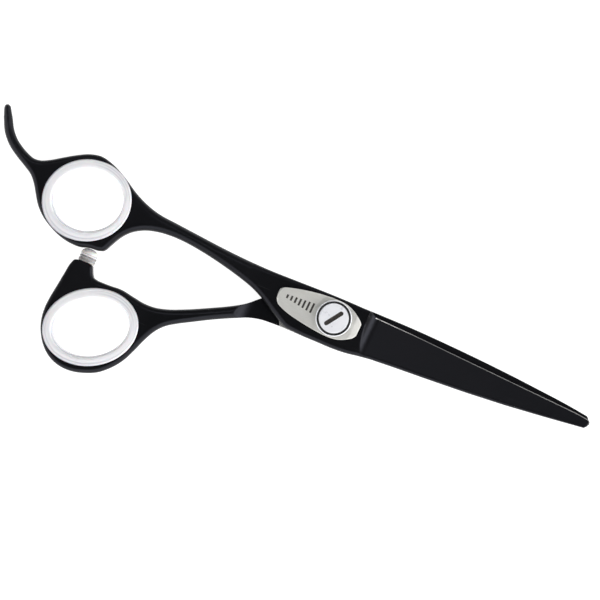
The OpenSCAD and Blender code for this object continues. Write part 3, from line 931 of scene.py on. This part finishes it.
# Section of a lip: share of the way from the hole to the rim, and how far it lies below the lip's top
LIP_SECTION = (
    (0.006, 1.6), (0.03, 0.9), (0.075, 0.42), (0.15, 0.13), (0.24, 0.02), (0.34, 0.0), (0.48, 0.015),
    (0.60, 0.05), (0.70, 0.075), (0.735, 0.11), (0.77, 0.075), (0.86, 0.10), (0.93, 0.17), (0.975, 0.28),
    (0.997, 0.40), (1.0, 0.48),
)
LIP_UNDERSIDE = 0.495
# Depth and half width of the nick at a mould seam, and where on the lip it starts
NICK_DEPTH = 0.09
NICK_REACH = 0.28
NICK_START = 0.2


def lip_shade(share, turn):
    """How much painted shade a lip has there, 0 to 1."""
    total = 0.0
    for at, width, middle, span, strength in LIP_SHADE_LINES:
        off = abs((turn - middle + 180) % 360 - 180)
        total += strength * max(0.0, 1 - abs(share - at) / width) * max(0.0, 1 - (off / span) ** 2)
    return min(total, 1.0)


def ring_insert(node, seams):
    """A soft grommet: rounded lips over both faces of the ring and a slightly crowned bore."""
    low, high = (p.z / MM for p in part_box(node))
    middle = (low + high) / 2
    lips = slice_loops(node, high - 0.1)
    waist = slice_loops(node, middle)
    centre = lips[1].mean(0)
    turns = 240
    rim, hole, neck = (polar(p, centre, turns) for p in (lips[0], lips[1], waist[0]))
    # from the middle of the bore over the lip, and in under it to the neck, which has no share
    section = [(0.0, middle)] + [(u, high - below) for u, below in LIP_SECTION]
    section.append((None, high - LIP_UNDERSIDE))
    bm = bmesh.new()
    # each vertex carries the lip's painted shade there
    painted_shade = bm.verts.layers.float.new("painted_shade")
    columns = []
    angles = np.linspace(0, 2 * math.pi, turns, endpoint=False)
    for i, a in enumerate(angles):
        nick = 0.0
        for seam in seams:
            off = abs((a - math.radians(seam) + math.pi) % (2 * math.pi) - math.pi) * rim[i]
            nick = max(nick, NICK_DEPTH * max(0.0, 1 - off / NICK_REACH))
        upper = []
        for u, z in section:
            if u is None:
                upper.append((neck[i], z, 1.0))
            else:
                sunk = nick if u > NICK_START else 0.0
                upper.append((hole[i] + (rim[i] - hole[i]) * u, z - sunk, u))
        lower = [(r, 2 * middle - z, u) for r, z, u in upper[:0:-1]]
        column = []
        for r, z, u in upper + lower:
            x, y = centre[0] + r * math.cos(a), centre[1] + r * math.sin(a)
            vert = bm.verts.new((x * MM, y * MM, z * MM))
            vert[painted_shade] = lip_shade(u, math.degrees(a))
            column.append(vert)
        columns.append(column)
    for this, other in zip(columns, columns[1:] + columns[:1]):
        for k in range(len(this)):
            m = (k + 1) % len(this)
            bm.faces.new((this[k], other[k], other[m], this[m]))
    obj = built(node + "_grommet", bm)
    obj.data.materials.append(MATERIALS["white_silicone"])
    return obj


finish(ring_insert("finger_ring_insert", (184, 10)), "finger_half",
       ["finger_ring_insert"], 60)
finish(ring_insert("thumb_ring_insert", (106, 268)), "thumb_half",
       ["thumb_ring_insert"], 60)


# ---------------------------------------------------------------- bumper

stop_low, stop_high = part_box("bumper")
stop_radius = (stop_high.x - stop_low.x) / 2 / MM
stop_length = (stop_high.y - stop_low.y) / MM
stud_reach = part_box("bumper_stud")[1].y / MM - stop_low.y / MM
stud_radius = (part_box("bumper_stud")[1].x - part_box("bumper_stud")[0].x) / 2 / MM + 0.03


GROOVE_DEPTH = 0.24
GROOVE_WIDTH = 0.5
GROOVE_STEPS = 5
DOME_START = 2.05


def groove(at):
    """Section of a round groove in the bumper's side, centred at a height."""
    return [(stop_radius - GROOVE_DEPTH * math.sin(math.pi * k / GROOVE_STEPS) ** 2,
             at + GROOVE_WIDTH * (k / GROOVE_STEPS - 0.5)) for k in range(GROOVE_STEPS + 1)]


profile = [(0, stud_reach + 0.05), (stud_radius, stud_reach + 0.05), (stud_radius, 0.0),
           (stop_radius - 0.28, 0.0), (stop_radius - 0.1, 0.08), (stop_radius - 0.02, 0.3)]
profile += groove(0.98) + groove(1.7)
profile += [(stop_radius * math.cos(math.radians(t)) ** 0.8 if t < 90 else 0.0,
             DOME_START + (stop_length - DOME_START) * math.sin(math.radians(t))) for t in range(0, 91, 9)]
bumper = revolve("bumper_stop", profile, 96, "Y",
                 ((stop_low.x + stop_high.x) / 2 / MM, stop_low.y / MM, (stop_low.z + stop_high.z) / 2 / MM))
bumper.data.materials.append(MATERIALS["clear_rubber"])
finish(bumper, "thumb_half", ["bumper"], 45)


# ---------------------------------------------------------------- tension dial

dial_low, dial_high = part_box("tension_dial")
ring_low, ring_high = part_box("dial_ring")
d_top, d_base = dial_high.z / MM, dial_low.z / MM
d_r, ring_r = dial_high.x / MM, ring_high.x / MM
flange = plate_high + 0.2
groove_in, groove_out, groove_floor = 3.79, ring_r + 0.01, ring_low.z / MM
bore_r, neck_r = 1.78, 3.1
dial_profile = [
    (0, flange + 0.2), (bore_r, flange + 0.2), (bore_r, d_base), (neck_r, d_base), (neck_r, flange),
    (d_r - 0.12, flange), (d_r - 0.03, flange + 0.04), (d_r, flange + 0.14), (d_r, d_top - 0.22),
    (d_r - 0.03, d_top - 0.09), (d_r - 0.09, d_top - 0.02), (d_r - 0.14, d_top), (groove_out + 0.03, d_top),
    (groove_out, d_top - 0.03), (groove_out, groove_floor), (groove_in, groove_floor),
    (groove_in, d_top - 0.12), (groove_in - 0.03, d_top - 0.05), (groove_in - 0.12, d_top - 0.012),
    (groove_in - 0.3, d_top), (0, d_top)]
dial = revolve("dial_body", dial_profile, 160)
dial.data.materials.append(MATERIALS["polished_steel"])
slot_turn, slot_half, slot_width, slot_floor = math.radians(55), 2.8, 0.55, d_top - 0.32
ends = [(slot_half - slot_width + slot_width * math.cos(a), slot_width * math.sin(a))
        for a in np.linspace(-math.pi / 2, math.pi / 2, 13)]
ends += [(-x, -y) for x, y in ends]
slot_loop = np.array([(x * math.cos(slot_turn) - y * math.sin(slot_turn),
                       x * math.sin(slot_turn) + y * math.cos(slot_turn)) for x, y in ends])
slot_cutter = prism("coin_slot", slot_loop, slot_floor, d_top + 1)
slot_cutter.data.materials.append(MATERIALS["black_enamel"])
cut_away(dial, [slot_cutter])
finish(dial, "tension_dial", ["tension_dial"], 35)
flatten_top(dial)

ring_top = ring_high.z / MM
band = revolve("dial_band", [
    (groove_in + 0.02, groove_floor), (ring_r, groove_floor), (ring_r, ring_top - 0.04),
    (ring_r - 0.06, ring_top), (groove_in + 0.08, ring_top), (groove_in + 0.02, ring_top - 0.04)], 160)
band.data.materials.append(MATERIALS["black_rubber"])
finish(band, "tension_dial", ["dial_ring"], 35)


# ---------------------------------------------------------------- softened edges on the CAD nodes that stay

for node, width in (("pivot_bolt", 0.05), ("cover_plate_pins", 0.04),
                    ("ride_washer", 0.05), ("upper_race", 0.04), ("lower_race", 0.04), ("pivot_bush", 0.04)):
    cad_node = frame["nodes"][node]
    joined = cad_node.modifiers.new("joined", "WELD")
    joined.merge_threshold = 1e-6
    soft = cad_node.modifiers.new("soft_edges", "BEVEL")
    soft.width = width * MM
    soft.segments = 3
    soft.limit_method = "ANGLE"
    soft.angle_limit = math.radians(30)


# ---------------------------------------------------------------- floor, light and camera

FLOOR_REACH = 3.0
FLOOR_GAP = 0.00005


def build_stage():
    """A pale floor that glows a little, just under the object."""
    corners = [(x * FLOOR_REACH, y * FLOOR_REACH, 0) for x, y in ((-1, -1), (1, -1), (1, 1), (-1, 1))]
    mesh = bpy.data.meshes.new("floor")
    mesh.from_pydata(corners, [], [(0, 1, 2, 3)])
    floor = placed("floor", mesh)
    mat = node_material("pale_floor", Base_Color=(0.28, 0.28, 0.28, 1), Roughness=0.9, Specular_IOR_Level=0.1,
                        Emission_Color=(1, 1, 1, 1), Emission_Strength=0.95)[0]
    mesh.materials.append(mat)
    floor.location = (0, 0, cad_box[0][2] - FLOOR_GAP)


VIEW_DEGREES = 22.78
VIEW_TURN = math.radians(VIEW_DEGREES)
VIEW_UP = (-math.sin(VIEW_TURN), math.cos(VIEW_TURN), 0)
WING_TURN = 8


def polar_way(turn, from_zenith):
    """A direction from its turn about the vertical and its angle from straight up, in degrees."""
    a, b = math.radians(turn), math.radians(from_zenith)
    return Vector((math.cos(a) * math.sin(b), math.sin(a) * math.sin(b), math.cos(b)))


def build_world():
    """A tent: dark straight above, bright lower down except at the far side, with two soft panels.

    One panel is at the far side, 30 degrees from straight above, and the wing is lower down at the right.
    """
    world = bpy.data.worlds.new("studio")
    world.use_nodes = True
    nodes, links = world.node_tree.nodes, world.node_tree.links
    background = nodes["Background"]
    way_out = nodes.new("ShaderNodeTexCoord").outputs["Generated"]
    height = along_axis(nodes, links, way_out, "Z")

    def facing(way):
        dot = nodes.new("ShaderNodeVectorMath")
        dot.operation = "DOT_PRODUCT"
        dot.inputs[1].default_value = way
        links.new(way_out, dot.inputs[0])
        return dot.outputs["Value"]

    def step(value, low, high, source):
        return spread(nodes, links, value, low, high, source, "SMOOTHSTEP")

    def combine(operation, first, second):
        node = nodes.new("ShaderNodeMath")
        node.operation = operation
        links.new(first, node.inputs[0])
        links.new(second, node.inputs[1])
        return node.outputs[0]

    low_sky = step(height, 2.1, 0.0, (0.50, 0.76))
    side = step(facing(VIEW_UP), 1.0, 0.12, (0.0, 0.6))
    panel = step(facing(polar_way(90 + VIEW_DEGREES, 30)), 0.0, 2.7, (0.955, 0.99))
    zenith = step(height, 0.0, 0.1, (0.5, 0.8))
    wing = step(facing(polar_way(WING_TURN, 63)), 0.0, 2.7, (0.84, 0.97))
    total = combine("MULTIPLY", low_sky, side)
    for part in (panel, zenith, wing):
        total = combine("ADD", total, part)
    background.inputs["Color"].default_value = (1.0, 1.0, 1.02, 1)
    links.new(total, background.inputs["Strength"])
    bpy.context.scene.world = world


KEY_REACH = 0.9
KEY_HEIGHT = 0.6
KEY_POWER = 1.6
KEY_SIZE = (0.9, 0.4)


def build_key_light():
    """A rectangular light on the near side, aimed at the pivot."""
    data = bpy.data.lights.new("key_light", "AREA")
    data.shape = "RECTANGLE"
    data.size, data.size_y = KEY_SIZE
    data.energy = KEY_POWER
    light = placed("key_light", data)
    light.location = (-VIEW_UP[0] * KEY_REACH, -VIEW_UP[1] * KEY_REACH, KEY_HEIGHT)
    light.rotation_euler = (-light.location).to_track_quat("-Z", "Y").to_euler()


build_stage()
build_world()
build_key_light()

LENS = 150.0
SENSOR = 36.0
VIEW_WIDTH = 0.1524
AIM_HEIGHT = 0.004
# How far the photo's centre lies from the middle of the CAD box
AIM_SHIFT = (0.0042, 0.0110)
aim_x, aim_y = ((cad_box[0][i] + cad_box[1][i]) / 2 + AIM_SHIFT[i] for i in (0, 1))
lens = bpy.data.cameras.new("camera")
lens.lens = LENS
lens.sensor_width = SENSOR
lens.clip_start = 0.01
camera = placed("camera", lens)
camera.location = (aim_x, aim_y, AIM_HEIGHT + VIEW_WIDTH * LENS / SENSOR)
camera.rotation_euler = (0, 0, VIEW_TURN)
bpy.context.scene.camera = camera
bpy.context.scene.view_settings.view_transform = "Standard"
